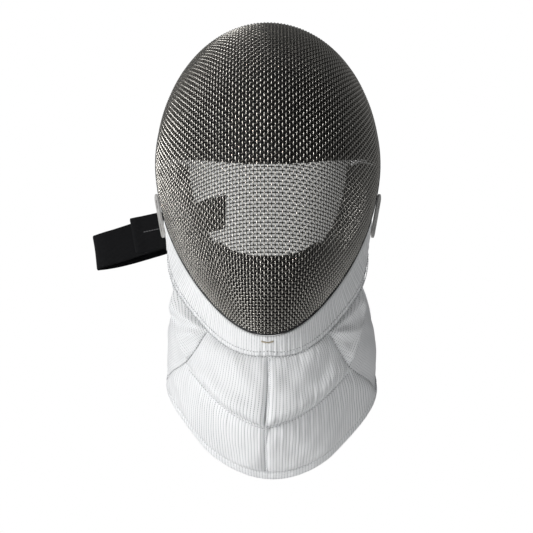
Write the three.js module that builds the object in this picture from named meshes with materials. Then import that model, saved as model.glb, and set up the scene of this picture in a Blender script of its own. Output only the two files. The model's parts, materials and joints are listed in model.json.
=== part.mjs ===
// A fencing mask: a deep bowl of woven steel wire with a black edge, a quilted cloth bib, inner pads,
// two side plates and an elastic strap. Millimetres, +Z up, and the wearer looks along -Y.
// The origin is the middle of the crown pad's inner face, where the head carries the mask.
import * as THREE from "three";

const { degToRad, lerp, clamp, smoothstep } = THREE.MathUtils;
const GAP = 0.4; // clear space between neighbouring pieces

// The bowl's own frame: x to the right, y its depth behind the foremost point, z along its height.
const BOWL_TILT = 10; // degrees that the bowl leans back when the mask is worn upright
const FRONT = { crownFrom: 8, crownRise: 164, crownDepth: 125, chinFrom: -42, chinRadius: 90 };
const CHIN_Z = -114.8;
const WIDTH = { half: 107.2, atZ: 40, narrowing: 0.555, narrowingPower: 1.8, narrowingRun: 155 };
const AXIS = { depth: 155, crownDepth: 125 };
const RIM = { earZ: -20, earDepth: 124, rise: 181, back: 48, backPower: 1.35, chinRun: 87, chinPower: 1.15 };
const RAY_FROM = new THREE.Vector3(0, 120, 20); // a point that sees the whole inside of the bowl
const CROWN_TOP = FRONT.crownFrom + FRONT.crownRise;

const MESH_WALL = 2; // two crossing wires of 1 mm
const TRIM_RADIUS = 1.3;
const BIB_WALL = 3.5;

// The bib's plan radius about a vertical axis behind the face, down from the rim (0) to the hem (1).
const BIB_AXIS_Y = 125;
const BIB_SECTIONS = [
  { down: 0.0, front: 88, quarter: 79, side: 97 },
  { down: 0.15, front: 88, quarter: 80, side: 94.5 },
  { down: 0.27, front: 94, quarter: 84, side: 90 },
  { down: 0.36, front: 97, quarter: 86, side: 86.5 },
  { down: 0.5, front: 98, quarter: 89, side: 93.5 },
  { down: 0.64, front: 94, quarter: 89, side: 98 },
  { down: 0.8, front: 87, quarter: 88, side: 99 },
  { down: 1.0, front: 75, quarter: 85, side: 98 },
];
const BIB_TURN = { top: 90, hem: 112 }; // degrees that each wing reaches round from the front
const BIB_SWAY = { shift: 3.3, turn: -3.8, from: 0.3, to: 0.7 }; // the loose lower part sits a little askew
const HEM = { lowZ: -242.5, lowAt: 0.035, rise: 47, waves: 2.7 };
const BAND = { front: 0.14, extra: 0.06 };
const V_SEAM = { centre: 0.625, side: 0.55, reach: 0.5 };
const HEM_FROM = 0.945;
const BAND_FROM = 0.03; // the band starts just below the rim's trim
// Half gaps at the seams, as shares of the way down or of a panel, and how proud the band and hem lie.
const SEAM = { underBand: 0.009, sideTop: 0.012, aboveHem: 0.004, panelInset: 0.008, band: 0.3, hem: 0.6 };
const PUFF = { throat: 4, chest: 3, side: 2 };
const WING_CROWDING = 1.7; // how much closer together the places round a side panel lie at the wing's end
const BAND_CROWDING = 0.4;
// The seam between the front panels and the side panel: how far round and how far down it runs.
const SIDE_SEAM = [
  { down: 0.15, round: 0.43 },
  { down: 0.25, round: 0.455 },
  { down: 0.52, round: 0.54 },
  { down: 0.79, round: 0.69 },
  { down: 1.0, round: 0.78 },
];

const PAD_CLEARANCE = 1.2;
const PAD_EDGE = 0.12; // share of a pad's width over which it thins towards its edge
const PAD_EDGE_THICKNESS = 0.6; // share of the full thickness left there
const FOREHEAD = { turn: 78, thickness: 13, lowestZ: 31, toRim: 0.95, seatAt: 0.84 };
const CHEEK = { from: 81, to: 137.5, fromSpread: 0.66, toRim: 0.96, thickness: 20 };
const CHIN_PAD = { from: 138.4, fromSpread: 0.5, toRim: 0.97, thickness: 11 };

const PLATE = { height: 43, depth: 12, thickness: 1.5, corner: 5.8, slotHeight: 10, slotWidth: 4.4 };
const PLATE_SLOTS = [
  { name: "upper", z: 11.5 },
  { name: "lower", z: -11.5 },
];
const PLATE_AT = { x: 100.2, y: 130, z: -6, splay: 18, leanOut: 7, leanBack: 15 };

const STRAP = { width: 35, thickness: 1.6 };
const STRAP_UP = new THREE.Vector3(-0.08, 0.38, 1).normalize(); // across the strap, from its lower edge
const STRAP_BAR = { x: -97, y: 146.6, z: -20.5, radius: 1.1, length: 42 };
// The strap's middle line: from the turned-under tab end, round the bar and back, out to the fold,
// then into the bowl.
const STRAP_ROUTE = [
  { at: "tab end, turned under", x: -119, y: 151.4, z: -24.6 },
  { at: "turned under", x: -126.5, y: 152.9, z: -26 },
  { at: "tab fold", x: -129.2, y: 152.3, z: -26.5 },
  { at: "tab fold front", x: -127.6, y: 150.6, z: -26.2 },
  { at: "tab", x: -118, y: 148.6, z: -24.4 },
  { at: "tab", x: -106, y: 145.6, z: -22 },
  { at: "bar front", x: -98.8, y: 143.7, z: -20.6 },
  { at: "bar inside", x: -94.2, y: 145.6, z: -20 },
  { at: "bar behind", x: -95.4, y: 149.4, z: -20.4 },
  { at: "band", x: -101, y: 150.3, z: -21.6 },
  { at: "band", x: -118, y: 153.9, z: -26.6 },
  { at: "band", x: -130, y: 156.5, z: -30.4 },
  { at: "band", x: -146, y: 158.4, z: -35.5 },
  { at: "band", x: -158, y: 159.6, z: -39 },
  { at: "outer fold", x: -166, y: 162.6, z: -41.6 },
  { at: "outer fold", x: -167.2, y: 166.6, z: -42.6 },
  { at: "outer fold", x: -162, y: 170.2, z: -42.4 },
  { at: "return", x: -146, y: 171.6, z: -39.6 },
  { at: "return", x: -120, y: 170.6, z: -32.6 },
  { at: "return", x: -92, y: 167.6, z: -23.4 },
  { at: "return", x: -66, y: 163.6, z: -14.6 },
  { at: "free end", x: -41, y: 159, z: -6 },
];

const material = (name, color, roughness, metalness) =>
  new THREE.MeshStandardMaterial({ name, color, roughness, metalness });
const steelWire = material("steel_wire", 0x9c978e, 0.35, 0.9);
const blackTrim = material("black_trim", 0x151515, 0.6, 0);
const bibCloth = material("bib_cloth", 0xe9ebec, 0.85, 0);
const padCloth = material("pad_cloth", 0x1c1c1e, 0.95, 0);
const plateSteel = material("plate_steel", 0xb9bcc0, 0.3, 1);
const strapElastic = material("strap_elastic", 0x17181b, 0.8, 0);

// ---- solids ----

// A geometry from quads and triangles of points, with shared corners merged and its faces turned outwards.
function closedGeometry(faces) {
  const positions = [];
  const index = [];
  const seen = new Map();
  const corner = (point) => {
    const key = point.toArray().map((n) => Math.round(n * 1e4)).join();
    if (!seen.has(key)) {
      seen.set(key, positions.length / 3);
      positions.push(point.x, point.y, point.z);
    }
    return seen.get(key);
  };
  const addTriangle = (a, b, c) => {
    if (a !== b && b !== c && c !== a) index.push(a, b, c);
  };
  let volume = 0;
  for (const face of faces) {
    const [a, b, c, d] = face.map(corner);
    addTriangle(a, b, c);
    addTriangle(a, c, d);
    const [p, q, r, s] = face;
    volume += p.dot(new THREE.Vector3().crossVectors(q, r));
    volume += p.dot(new THREE.Vector3().crossVectors(r, s));
  }
  if (volume < 0) index.reverse();
  const geometry = new THREE.BufferGeometry();
  geometry.setAttribute("position", new THREE.Float32BufferAttribute(positions, 3));
  geometry.setIndex(index);
  geometry.computeVertexNormals();
  return geometry;
}

// A closed wall between an outer and an inner surface, each a function of p and q from 0 to 1.
// A ring joins its p ends, and its q = 0 side may shrink to one point.
function wall(columns, rows, outer, inner, ring = false) {
  const grid = (surface) =>
    Array.from({ length: columns + 1 }, (_, i) =>
      Array.from({ length: rows + 1 }, (_, j) => surface((ring ? i % columns : i) / columns, j / rows)),
    );
  const out = grid(outer);
  const into = grid(inner);
  const faces = [];
  for (let i = 0; i < columns; i++) {
    for (let j = 0; j < rows; j++) {
      faces.push([out[i][j], out[i + 1][j], out[i + 1][j + 1], out[i][j + 1]]);
      faces.push([into[i][j], into[i][j + 1], into[i + 1][j + 1], into[i + 1][j]]);
    }
    faces.push([out[i][0], into[i][0], into[i + 1][0], out[i + 1][0]]);
    faces.push([out[i][rows], out[i + 1][rows], into[i + 1][rows], into[i][rows]]);
  }
  for (let j = 0; j < rows && !ring; j++) {
    faces.push([out[0][j], out[0][j + 1], into[0][j + 1], into[0][j]]);
    faces.push([out[columns][j], into[columns][j], into[columns][j + 1], out[columns][j + 1]]);
  }
  return closedGeometry(faces);
}

function bisect(low, high, isLow) {
  for (let step = 0; step < 40; step++) {
    const middle = (low + high) / 2;
    if (isLow(middle)) low = middle;
    else high = middle;
  }
  return (low + high) / 2;
}

// ---- the bowl ----

function frontDepth(z) {
  const up = clamp((z - FRONT.crownFrom) / FRONT.crownRise, 0, 1);
  const down = clamp((FRONT.chinFrom - z) / FRONT.chinRadius, 0, 1);
  return FRONT.crownDepth * (1 - Math.sqrt(1 - up ** 2)) + FRONT.chinRadius * (1 - Math.sqrt(1 - down ** 2));
}

function halfWidth(z) {
  const up = clamp((z - WIDTH.atZ) / (CROWN_TOP - WIDTH.atZ), 0, 1);
  const down = Math.max((WIDTH.atZ - z) / WIDTH.narrowingRun, 0);
  return WIDTH.half * (Math.sqrt(1 - up ** 2) - WIDTH.narrowing * down ** WIDTH.narrowingPower);
}

function axisDepth(z) {
  const up = clamp((z - FRONT.crownFrom) / FRONT.crownRise, 0, 1);
  return AXIS.depth - (AXIS.depth - AXIS.crownDepth) * up ** 2;
}

function rimDepth(z) {
  const up = Math.max((z - RIM.earZ) / RIM.rise, 0);
  const down = Math.max((RIM.earZ - z) / (RIM.earZ - CHIN_Z), 0);
  return RIM.earDepth + RIM.back * up ** RIM.backPower - RIM.chinRun * down ** RIM.chinPower;
}

// Below 1 inside the bowl, 1 on its surface.
function bowlLevel({ x, y, z }) {
  if (z >= CROWN_TOP) return 1 + (z - CROWN_TOP + 1e-6);
  const across = x / Math.max(halfWidth(z), 1e-3);
  const along = (y - axisDepth(z)) / Math.max(axisDepth(z) - frontDepth(z), 1e-3);
  return across ** 2 + along ** 2;
}

function bowlNormal(point) {
  const step = 0.01;
  const slope = (axis) => {
    const ahead = point.clone().addScaledVector(axis, step);
    const behind = point.clone().addScaledVector(axis, -step);
    return bowlLevel(ahead) - bowlLevel(behind);
  };
  return new THREE.Vector3(
    slope(new THREE.Vector3(1, 0, 0)),
    slope(new THREE.Vector3(0, 1, 0)),
    slope(new THREE.Vector3(0, 0, 1)),
  ).normalize();
}

// The surface point that a ray reaches: turn goes round from the top, opening is the angle off the
// forward axis.
function rayPoint(turn, opening) {
  const ray = new THREE.Vector3(
    Math.sin(opening) * Math.sin(turn),
    -Math.cos(opening),
    Math.sin(opening) * Math.cos(turn),
  );
  const along = (distance) => RAY_FROM.clone().addScaledVector(ray, distance);
  return along(bisect(0, 400, (distance) => bowlLevel(along(distance)) < 1));
}

const rimOpening = (turn) =>
  bisect(0, degToRad(170), (opening) => {
    const { y, z } = rayPoint(turn, opening);
    return y < rimDepth(z);
  });

// A point at a share of the way from the bowl's front pole (0) to its rim (1), set in from the surface.
function bowlPoint(turn, spread, inset = 0) {
  const point = rayPoint(turn, spread * rimOpening(turn));
  return point.addScaledVector(bowlNormal(point), -inset);
}

function meshShell() {
  const lastSpread = (turn) => {
    const opening = rimOpening(turn);
    const reach = rayPoint(turn, opening).distanceTo(RAY_FROM);
    return 1 - (TRIM_RADIUS + GAP) / (reach * opening);
  };
  const side = (inset) => (p, q) => {
    const turn = p * 2 * Math.PI;
    return bowlPoint(turn, q * lastSpread(turn), inset);
  };
  return wall(56, 15, side(0), side(MESH_WALL), true);
}

function edgeRim() {
  const middle = (turn) => bowlPoint(turn, 1, MESH_WALL / 2);
  const sides = 6;
  const rings = 72;
  const ring = (i) => {
    const turn = ((i % rings) / rings) * 2 * Math.PI;
    const centre = middle(turn);
    const along = middle(turn + 0.01).sub(middle(turn - 0.01)).normalize();
    const out = bowlNormal(centre);
    const across = new THREE.Vector3().crossVectors(along, out).normalize();
    return Array.from({ length: sides }, (_, k) => {
      const angle = (k / sides) * 2 * Math.PI;
      return centre
        .clone()
        .addScaledVector(out, TRIM_RADIUS * Math.cos(angle))
        .addScaledVector(across, TRIM_RADIUS * Math.sin(angle));
    });
  };
  const faces = [];
  for (let i = 0; i < rings; i++) {
    const here = ring(i);
    const next = ring(i + 1);
    here.forEach((point, k) => {
      const l = (k + 1) % sides;
      faces.push([point, next[k], next[l], here[l]]);
    });
  }
  return closedGeometry(faces);
}

// ---- the inner pads, which line the bowl ----

function padWall(columns, rows, turnAt, spreadAt, thickness) {
  const face = (inset, round) => (p, q) => {
    const edge = (round * Math.min(p, 1 - p, PAD_EDGE, q, 1 - q)) / PAD_EDGE;
    return bowlPoint(turnAt(p), spreadAt(turnAt(p), q), inset + edge);
  };
  const nearMesh = MESH_WALL + PAD_CLEARANCE;
  const edgeInset = nearMesh + thickness * PAD_EDGE_THICKNESS;
  return wall(columns, rows, face(nearMesh, 0), face(edgeInset, thickness * (1 - PAD_EDGE_THICKNESS)));
}

const wornZ = (point) =>
  point.z * Math.cos(degToRad(BOWL_TILT)) - point.y * Math.sin(degToRad(BOWL_TILT));

function foreheadPad() {
  const limit = degToRad(FOREHEAD.turn);
  const lowSpread = (turn) =>
    bisect(0.02, 0.9, (spread) => wornZ(bowlPoint(turn, spread)) < FOREHEAD.lowestZ);
  return padWall(
    26,
    12,
    (p) => lerp(-limit, limit, p),
    (turn, q) => lerp(lowSpread(turn), FOREHEAD.toRim, q),
    FOREHEAD.thickness,
  );
}

function cheekPad(side) {
  return padWall(
    10,
    6,
    (p) => side * degToRad(lerp(CHEEK.from, CHEEK.to, p)),
    (turn, q) => lerp(CHEEK.fromSpread, CHEEK.toRim, q),
    CHEEK.thickness,
  );
}

function chinPad() {
  const start = degToRad(CHIN_PAD.from);
  return padWall(
    14,
    6,
    (p) => lerp(start, 2 * Math.PI - start, p),
    (turn, q) => lerp(CHIN_PAD.fromSpread, CHIN_PAD.toRim, q),
    CHIN_PAD.thickness,
  );
}

// ---- the bib ----

// A smooth curve through the rows of a short table, at a place in its first column.
function tableValue(rows, placeName, place, valueName) {
  const last = rows.length - 2;
  let i = 0;
  while (i < last && rows[i + 1][placeName] < place) i++;
  const slope = (k) => {
    const before = rows[Math.max(k - 1, 0)];
    const after = rows[Math.min(k + 1, rows.length - 1)];
    return (after[valueName] - before[valueName]) / (after[placeName] - before[placeName]);
  };
  const run = rows[i + 1][placeName] - rows[i][placeName];
  const t = (place - rows[i][placeName]) / run;
  const h = t * t * (3 - 2 * t);
  return (
    lerp(rows[i][valueName], rows[i + 1][valueName], h) +
    run * (slope(i) * t * (1 - t) ** 2 - slope(i + 1) * t * t * (1 - t))
  );
}

// The rim's height where it passes a plan angle about the bib's axis.
function rimAtTurn(turn) {
  const rimPoint = (z) => {
    const along = (axisDepth(z) - rimDepth(z)) / (axisDepth(z) - frontDepth(z));
    return { x: halfWidth(z) * Math.sqrt(Math.max(1 - along ** 2, 0)), y: rimDepth(z), z };
  };
  const z = bisect(CHIN_Z, 30, (height) => {
    const { x, y } = rimPoint(height);
    return Math.atan2(x, BIB_AXIS_Y - y) < turn;
  });
  const { x, y } = rimPoint(z);
  return { z, radius: Math.hypot(x, BIB_AXIS_Y - y) };
}

function bibRadius(down, turn) {
  const [front, quarter, side] = ["front", "quarter", "side"].map((name) =>
    tableValue(BIB_SECTIONS, "down", down, name),
  );
  const share = Math.min(Math.abs(turn) / (Math.PI / 2), 1);
  return share < 0.5
    ? lerp(front, quarter, smoothstep(share, 0, 0.5))
    : lerp(quarter, side, smoothstep(share, 0.5, 1));
}

// The bib's outer face: round from -1, the left wing's end, to 1, and down from the rim (0) to the hem (1).
function bibFace(round, down) {
  const top = rimAtTurn(Math.abs(round) * degToRad(BIB_TURN.top));
  const turn = round * degToRad(lerp(BIB_TURN.top, BIB_TURN.hem, down));
  const hemZ = HEM.lowZ + HEM.rise * (1 - Math.cos(HEM.waves * (round - HEM.lowAt)));
  const radius = lerp(top.radius, bibRadius(down, turn), smoothstep(down, 0, 0.2));
  const sway = smoothstep(down, BIB_SWAY.from, BIB_SWAY.to);
  const swayed = turn + sway * degToRad(BIB_SWAY.turn);
  return new THREE.Vector3(
    radius * Math.sin(swayed) + sway * BIB_SWAY.shift,
    BIB_AXIS_Y - radius * Math.cos(swayed),
    lerp(top.z, hemZ, down),
  );
}

function bibPoint(round, down, proud) {
  const step = 0.01;
  const across = bibFace(round + step, down).sub(bibFace(round - step, down));
  const along = bibFace(round, Math.min(down + step, 1)).sub(bibFace(round, Math.max(down - step, 0)));
  const out = across.cross(along).normalize();
  return bibFace(round, down).addScaledVector(out, -proud);
}

const bandDown = (round) => BAND.front + BAND.extra * Math.sin(Math.PI * Math.abs(round));
const vSeamDown = (round) => {
  const share = clamp(1 - Math.abs(round) / V_SEAM.reach, 0, 1);
  return lerp(V_SEAM.side, V_SEAM.centre, share ** 2);
};
const sideSeamRound = (down) => tableValue(SIDE_SEAM, "down", down, "round");

// The rim climbs steeply where the wings end, so the places along it lie closer together there.
const denserAtEnd = (share) => 1 - (1 - share) ** WING_CROWDING;
const denserAtEnds = (share) => share * (1 + BAND_CROWDING * (1 - share ** 2));

// A quilted panel between seams: place gives round and down for p and q, and the middle swells by puff.
function panel(columns, rows, place, puff) {
  const within = (share) => lerp(SEAM.panelInset, 1 - SEAM.panelInset, share);
  const at = (proud) => (p, q) => {
    const { round, down } = place(within(p), within(q));
    const swell = Math.sqrt(16 * p * (1 - p) * q * (1 - q));
    return bibPoint(round, down, proud + puff * swell);
  };
  return wall(columns, rows, at(0), at(-BIB_WALL));
}

// A front panel reaches from the centre seam to the side seam, between two cross seams.
function frontPanel(side, columns, rows, fromDown, toDown, puff) {
  const place = (p, q) => {
    let round = p * 0.5;
    let down = 0;
    for (let turn = 0; turn < 12; turn++) {
      down = lerp(fromDown(round), toDown(round), q);
      round = p * sideSeamRound(lerp(fromDown(sideSeamRound(down)), toDown(sideSeamRound(down)), q));
    }
    return { round: side * round, down };
  };
  return panel(columns, rows, place, puff);
}

const throatPanel = (side) => frontPanel(side, 10, 9, bandDown, vSeamDown, PUFF.throat);
const chestPanel = (side) => frontPanel(side, 12, 8, vSeamDown, () => HEM_FROM, PUFF.chest);

function sidePanel(side) {
  const place = (p, q) => {
    const seamDown = lerp(bandDown(SIDE_SEAM[1].round), HEM_FROM, q);
    const round = lerp(sideSeamRound(seamDown), 1, denserAtEnd(p));
    return { round: side * round, down: lerp(bandDown(round) + SEAM.sideTop, HEM_FROM, q) };
  };
  return panel(12, 12, place, PUFF.side);
}

function bibBand() {
  const at = (proud) => (p, q) => {
    const round = denserAtEnds(lerp(-1, 1, p));
    return bibPoint(round, lerp(BAND_FROM, bandDown(round) - SEAM.underBand, q), proud);
  };
  return wall(60, 3, at(SEAM.band), at(SEAM.band - BIB_WALL));
}

function bibHem() {
  const at = (proud) => (p, q) => bibPoint(lerp(-1, 1, p), lerp(HEM_FROM + SEAM.aboveHem, 1, q), proud);
  return wall(56, 2, at(SEAM.hem), at(-BIB_WALL - SEAM.hem));
}

// ---- the side plates ----

function platePiece() {
  const { height, depth, corner } = PLATE;
  const outline = new THREE.Shape();
  outline.moveTo(corner, -height / 2);
  outline.lineTo(depth - corner, -height / 2);
  outline.absarc(depth - corner, -height / 2 + corner, corner, -Math.PI / 2, 0);
  outline.lineTo(depth, height / 2 - corner);
  outline.absarc(depth - corner, height / 2 - corner, corner, 0, Math.PI / 2);
  outline.lineTo(corner, height / 2);
  outline.absarc(corner, height / 2 - corner, corner, Math.PI / 2, Math.PI);
  outline.lineTo(0, -height / 2 + corner);
  outline.absarc(corner, -height / 2 + corner, corner, Math.PI, 1.5 * Math.PI);
  for (const { z } of PLATE_SLOTS) {
    const reach = (PLATE.slotHeight - PLATE.slotWidth) / 2;
    const slot = new THREE.Path();
    slot.absarc(depth / 2, z + reach, PLATE.slotWidth / 2, 0, Math.PI);
    slot.absarc(depth / 2, z - reach, PLATE.slotWidth / 2, Math.PI, 2 * Math.PI);
    slot.closePath();
    outline.holes.push(slot);
  }
  const geometry = new THREE.ExtrudeGeometry(outline, {
    depth: PLATE.thickness,
    bevelEnabled: false,
    curveSegments: 8,
  });
  // The outline is drawn in x and y: turn it so that its depth runs along y and its height along z.
  geometry.applyMatrix4(new THREE.Matrix4().set(0, 0, 1, 0, 1, 0, 0, 0, 0, 1, 0, 0, 0, 0, 0, 1));
  return geometry;
}

function strapPlate(side) {
  const holder = new THREE.Group();
  const mesh = new THREE.Mesh(platePiece(), plateSteel);
  mesh.name = side < 0 ? "strap_plate_left" : "strap_plate_right";
  const inward = side < 0 ? -PLATE.thickness : 0;
  mesh.position.set(inward, 0, 0);
  holder.add(mesh);
  holder.position.set(side * PLATE_AT.x, PLATE_AT.y, PLATE_AT.z);
  holder.rotation.set(
    degToRad(-PLATE_AT.leanBack),
    degToRad(side * PLATE_AT.leanOut),
    degToRad(-side * PLATE_AT.splay),
    "ZYX",
  );
  return holder;
}

// ---- the strap ----

function strapBand() {
  const route = new THREE.CatmullRomCurve3(
    STRAP_ROUTE.map(({ x, y, z }) => new THREE.Vector3(x, y, z)),
    false,
    "centripetal",
  );
  const face = (half) => (p, q) => {
    const along = route.getTangentAt(p);
    const across = STRAP_UP.clone().addScaledVector(along, -STRAP_UP.dot(along)).normalize();
    const out = new THREE.Vector3().crossVectors(along, across);
    return route
      .getPointAt(p)
      .addScaledVector(across, lerp(-STRAP.width, STRAP.width, q) / 2)
      .addScaledVector(out, half);
  };
  return wall(110, 1, face(STRAP.thickness / 2), face(-STRAP.thickness / 2));
}

function strapBar() {
  const geometry = new THREE.CylinderGeometry(STRAP_BAR.radius, STRAP_BAR.radius, STRAP_BAR.length, 10);
  const mesh = new THREE.Mesh(geometry, plateSteel);
  mesh.name = "strap_bar";
  mesh.quaternion.setFromUnitVectors(new THREE.Vector3(0, 1, 0), STRAP_UP);
  mesh.position.set(STRAP_BAR.x, STRAP_BAR.y, STRAP_BAR.z);
  return mesh;
}

// ---- assembly ----

const bowl = new THREE.Group();

function place(name, geometry, surface) {
  const mesh = new THREE.Mesh(geometry, surface);
  mesh.name = name;
  bowl.add(mesh);
}

place("mesh_shell", meshShell(), steelWire);
place("edge_rim", edgeRim(), blackTrim);
place("forehead_pad", foreheadPad(), padCloth);
place("chin_pad", chinPad(), padCloth);
place("bib_band", bibBand(), bibCloth);
place("bib_hem", bibHem(), bibCloth);
for (const [side, word] of [[-1, "left"], [1, "right"]]) {
  place(`cheek_pad_${word}`, cheekPad(side), padCloth);
  place(`bib_throat_${word}`, throatPanel(side), bibCloth);
  place(`bib_chest_${word}`, chestPanel(side), bibCloth);
  place(`bib_side_${word}`, sidePanel(side), bibCloth);
  bowl.add(strapPlate(side));
}
place("strap", strapBand(), strapElastic);
bowl.add(strapBar());

// Lean the bowl back, and bring the middle of the crown pad's inner face to the origin.
const padInset = MESH_WALL + PAD_CLEARANCE + FOREHEAD.thickness;
const seat = bowlPoint(0, FOREHEAD.seatAt, padInset).applyAxisAngle(
  new THREE.Vector3(1, 0, 0),
  degToRad(-BOWL_TILT),
);
bowl.rotation.x = degToRad(-BOWL_TILT);
bowl.position.copy(seat).negate();

const mask = new THREE.Group();
mask.add(bowl);
export default mask;
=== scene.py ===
"""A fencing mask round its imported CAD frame: a bowl of woven steel wire with a black edge, a quilted
bib, pads, side plates and an elastic strap. Shapes are worked out in the bowl's own frame, in
millimetres (x right, y depth behind the foremost point, z along the bowl's height), by the same
formulas as the CAD, and then brought into the row frame in metres."""

import json
import math

import bpy
import numpy as np
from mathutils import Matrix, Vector

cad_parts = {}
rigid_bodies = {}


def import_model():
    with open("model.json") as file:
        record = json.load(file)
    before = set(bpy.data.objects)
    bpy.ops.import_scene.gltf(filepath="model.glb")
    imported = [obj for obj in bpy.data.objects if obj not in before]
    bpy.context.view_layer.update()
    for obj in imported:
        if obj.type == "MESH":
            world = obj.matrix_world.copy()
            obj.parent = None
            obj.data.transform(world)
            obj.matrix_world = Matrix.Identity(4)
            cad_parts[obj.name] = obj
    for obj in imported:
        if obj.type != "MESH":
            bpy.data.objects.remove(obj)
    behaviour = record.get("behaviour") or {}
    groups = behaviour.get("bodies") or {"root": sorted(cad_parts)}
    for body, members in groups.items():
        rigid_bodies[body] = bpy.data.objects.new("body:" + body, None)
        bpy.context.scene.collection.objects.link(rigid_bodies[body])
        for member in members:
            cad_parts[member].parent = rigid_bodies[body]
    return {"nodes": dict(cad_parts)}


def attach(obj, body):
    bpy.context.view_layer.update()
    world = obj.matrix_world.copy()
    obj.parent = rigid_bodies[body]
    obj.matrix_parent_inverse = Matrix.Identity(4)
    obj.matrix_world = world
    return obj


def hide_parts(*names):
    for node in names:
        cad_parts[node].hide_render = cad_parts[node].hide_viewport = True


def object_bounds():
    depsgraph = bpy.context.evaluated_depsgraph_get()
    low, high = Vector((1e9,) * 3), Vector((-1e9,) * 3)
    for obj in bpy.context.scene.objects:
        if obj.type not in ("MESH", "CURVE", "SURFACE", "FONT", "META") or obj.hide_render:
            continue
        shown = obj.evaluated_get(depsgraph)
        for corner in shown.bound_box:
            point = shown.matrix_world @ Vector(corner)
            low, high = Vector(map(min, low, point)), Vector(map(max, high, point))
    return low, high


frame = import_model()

cad_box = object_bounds()

MM = 0.001
TAU = 2 * math.pi
SIDES = ((-1, "left"), (1, "right"))
HALVINGS = 34

# ---- the bowl's driving sizes, as in the CAD ----

BOWL_TILT = math.radians(10)
CROWN_FROM, CROWN_RISE, CROWN_DEPTH = 8.0, 164.0, 125.0
CHIN_FROM, CHIN_RADIUS, CHIN_Z = -42.0, 90.0, -114.8
CROWN_TOP = CROWN_FROM + CROWN_RISE
WIDEST_Z, WIDEST_HALF = 40.0, 107.2
NARROWING, NARROWING_POWER, NARROWING_RUN = 0.555, 1.8, 155.0
AXIS_DEPTH = 155.0
EAR_Z, EAR_DEPTH = -20.0, 124.0
RIM_RISE, RIM_BACK, RIM_BACK_POWER = 181.0, 48.0, 1.35
RIM_CHIN_RUN, RIM_CHIN_POWER = 87.0, 1.15
RAY_FROM = np.array([0.0, 120.0, 20.0])  # a point that sees the whole inside of the bowl
FAR, WIDEST_OPENING = 400.0, math.radians(170)

# ---- wire ----

WIRE_PITCH = 3.13
WIRE_RADIUS = 0.52
WIRE_SIDES = 6
ACROSS_PAINTED_HIGHLIGHT, ACROSS_EDGE_PAINTED_HIGHLIGHT = 0.12, 0.5  # the wires across get less painted highlight at their tops over the face
FACE_Z, FACE_REACH, EDGE_REACH = 30.0, 65.0, 115.0
WIRE_CRIMP = 0.8  # how far each wire swings out and in at the crossings
CROSSING_Z = 83.0  # where the straightest wire across the bowl meets the middle upright one
ROWS_LOWER = 8  # the wires across are split into two pieces this many rows below that crossing

WIRE_TURN, WIRE_DEPTH = math.radians(160), 230  # how far round and how far back the middle wires are drawn
MOST_LIFT = 1.2  # radians, how far a cell of the net can bend
PAINTED_SHADE_SWING, PAINTED_HIGHLIGHT_SWING = -1.0, 0.6  # the swings at which a wire gets its full painted shade and its full painted highlight

# ---- the bib, as in the CAD ----

BIB_AXIS_Y = 125.0
BIB_TOP_Z = 30  # the rim's height above which there is no bib
FINE = 1500  # steps of the curves that others are measured along
BIB_SECTIONS = np.array([
    # down, front, quarter, side radius
    (0.0, 88, 79, 97),
    (0.15, 88, 80, 94.5),
    (0.27, 94, 84, 90),
    (0.36, 97, 86, 86.5),
    (0.5, 98, 89, 93.5),
    (0.64, 94, 89, 98),
    (0.8, 87, 88, 99),
    (1.0, 75, 85, 98),
])
BIB_WALL = 3.5
BIB_TOP_TURN, BIB_HEM_TURN = math.radians(90), math.radians(112)
SWAY_SHIFT, SWAY_TURN, SWAY_FROM, SWAY_TO = 3.3, math.radians(-3.8), 0.3, 0.7
HEM_LOW_Z, HEM_LOW_AT, HEM_RISE, HEM_WAVES = -242.5, 0.035, 47.0, 2.7
BAND_FRONT, BAND_EXTRA = 0.14, 0.06
WING_CROWDING = 1.7  # how much closer together the places round a side panel lie at the wing's end
BAND_CROWDING = 0.4
V_CENTRE, V_SIDE, V_REACH = 0.625, 0.55, 0.5
HEM_FROM = 0.945
SIDE_SEAM = np.array([
    # down, round
    (0.15, 0.43),
    (0.25, 0.455),
    (0.52, 0.54),
    (0.79, 0.69),
    (1.0, 0.78),
])

# ---- pads and strap, as in the CAD but for the strap's free end, which is raised ----

MESH_WALL, PAD_CLEARANCE = 2.0, 1.2
FOREHEAD_THICKNESS, SEAT_SPREAD = 13.0, 0.84
STRAP_WIDTH, STRAP_THICKNESS = 35.0, 1.6
STRAP_ROUTE = np.array([
    (-119, 151.4, -24.6), (-126.5, 152.9, -26), (-129.2, 152.3, -26.5), (-127.6, 150.6, -26.2),
    (-118, 148.6, -24.4), (-106, 145.6, -22), (-98.8, 143.7, -20.6), (-94.2, 145.6, -20),
    (-95.4, 149.4, -20.4), (-101, 150.3, -21.6), (-118, 153.9, -26.6), (-130, 156.5, -30.4),
    (-146, 158.4, -35.5), (-158, 159.6, -39), (-166, 162.6, -41.6), (-167.2, 166.6, -42.6),
    (-162, 170.2, -42.4), (-146, 171.6, -39.6), (-120, 170.6, -32.6), (-92, 167.6, -23.4),
    (-66, 163.6, -9), (-41, 159, -2.5),
])


# ---- small helpers ----

def unit(vectors):
    return vectors / np.maximum(np.linalg.norm(vectors, axis=-1, keepdims=True), 1e-9)


def mix(a, b, share):
    return a + (b - a) * share


def smoothstep(value, low, high):
    share = np.clip((value - low) / (high - low), 0, 1)
    return share * share * (3 - 2 * share)


def bisect(shape, low, high, is_low):
    """An array of the values between low and high where is_low stops being true."""
    low, high = np.full(shape, float(low)), np.full(shape, float(high))
    for _ in range(HALVINGS):
        middle = (low + high) / 2
        below = is_low(middle)
        low = np.where(below, middle, low)
        high = np.where(below, high, middle)
    return (low + high) / 2


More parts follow.
